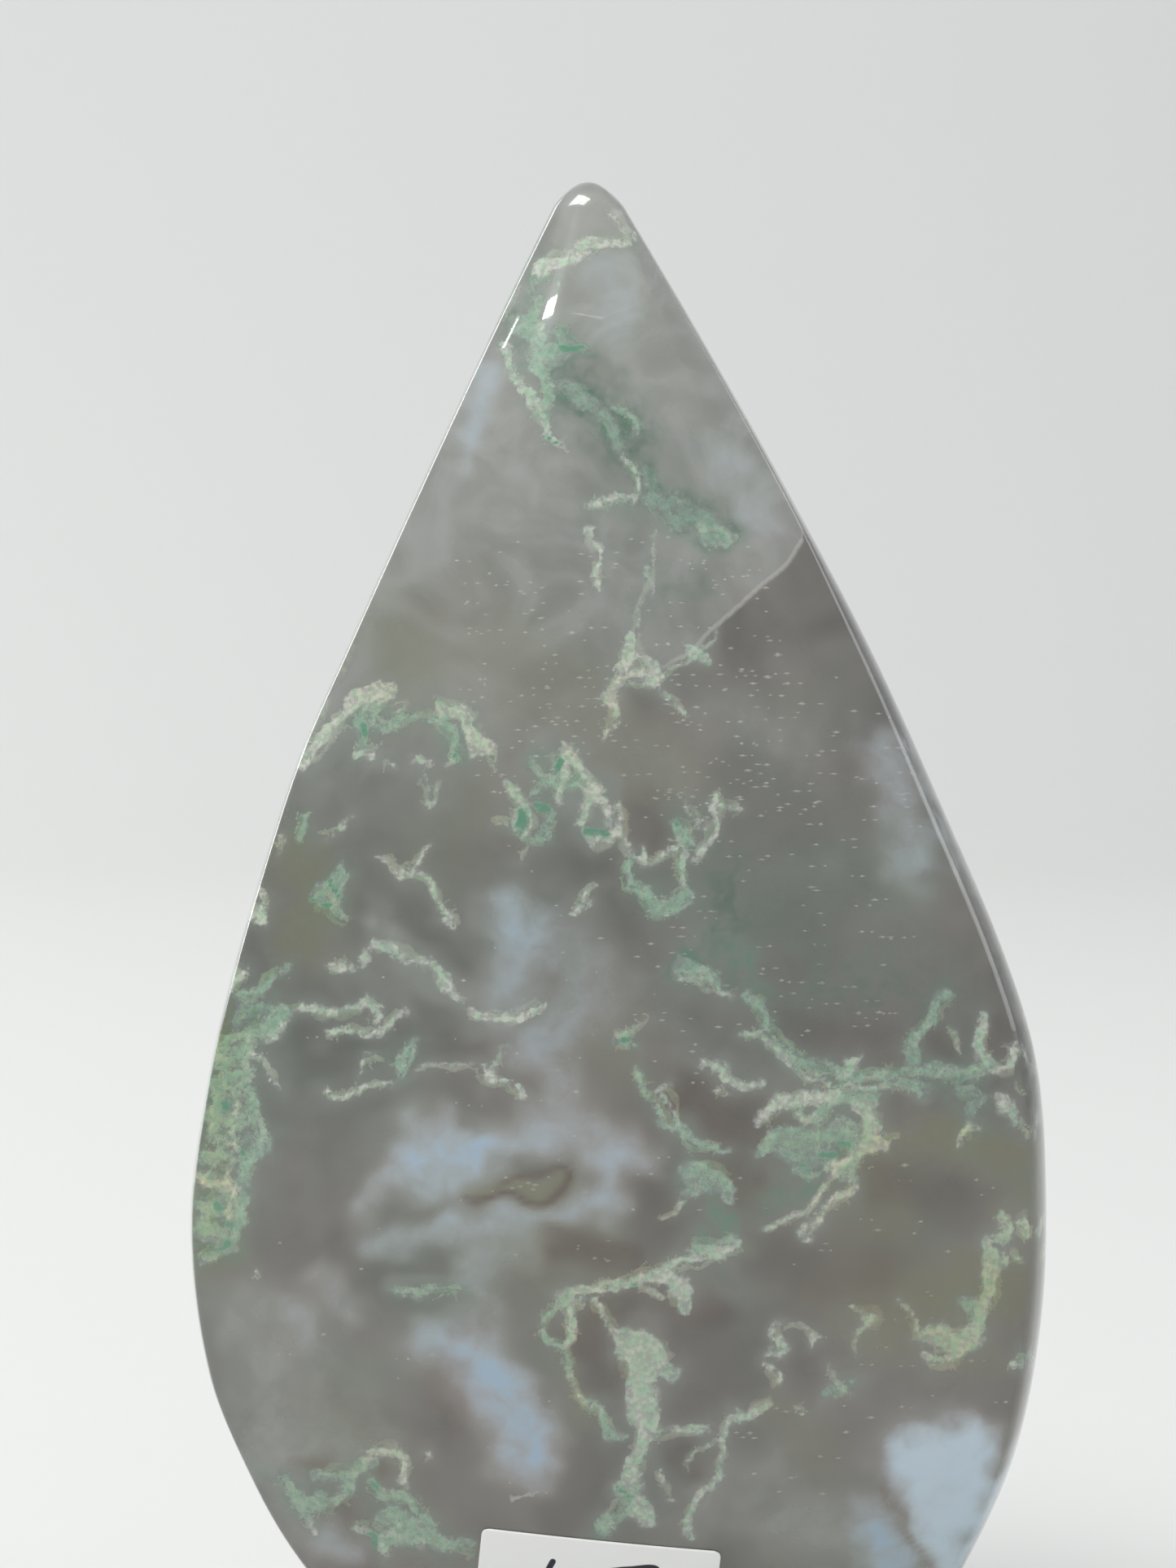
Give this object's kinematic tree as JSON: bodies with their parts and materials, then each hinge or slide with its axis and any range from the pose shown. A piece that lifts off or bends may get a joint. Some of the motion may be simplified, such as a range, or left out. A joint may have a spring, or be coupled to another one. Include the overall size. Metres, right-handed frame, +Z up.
{
  "type": "polished moss agate teardrop",
  "caption": "Freeform teardrop of polished moss agate that stands on a flat cut base, with a broad gently domed front, narrow side bevels and a blank paper label low on the front.",
  "frame": {"origin": "middle of the bounding box, at the height of the flat base", "axes": "+Z up from the base to the tip, -Y out of the broad front face, +X to the right seen from the front"},
  "size_m": [0.0634, 0.0308, 0.1138],
  "materials": {
    "stone": "high polish, translucent grey chalcedony with green and cream moss, soft blue clouds and fine specks",
    "price_label": "matt white paper"
  },
  "bodies": {
    "root": {"stone": "stone", "price_label": "price_label"}
  },
  "joints": []
}
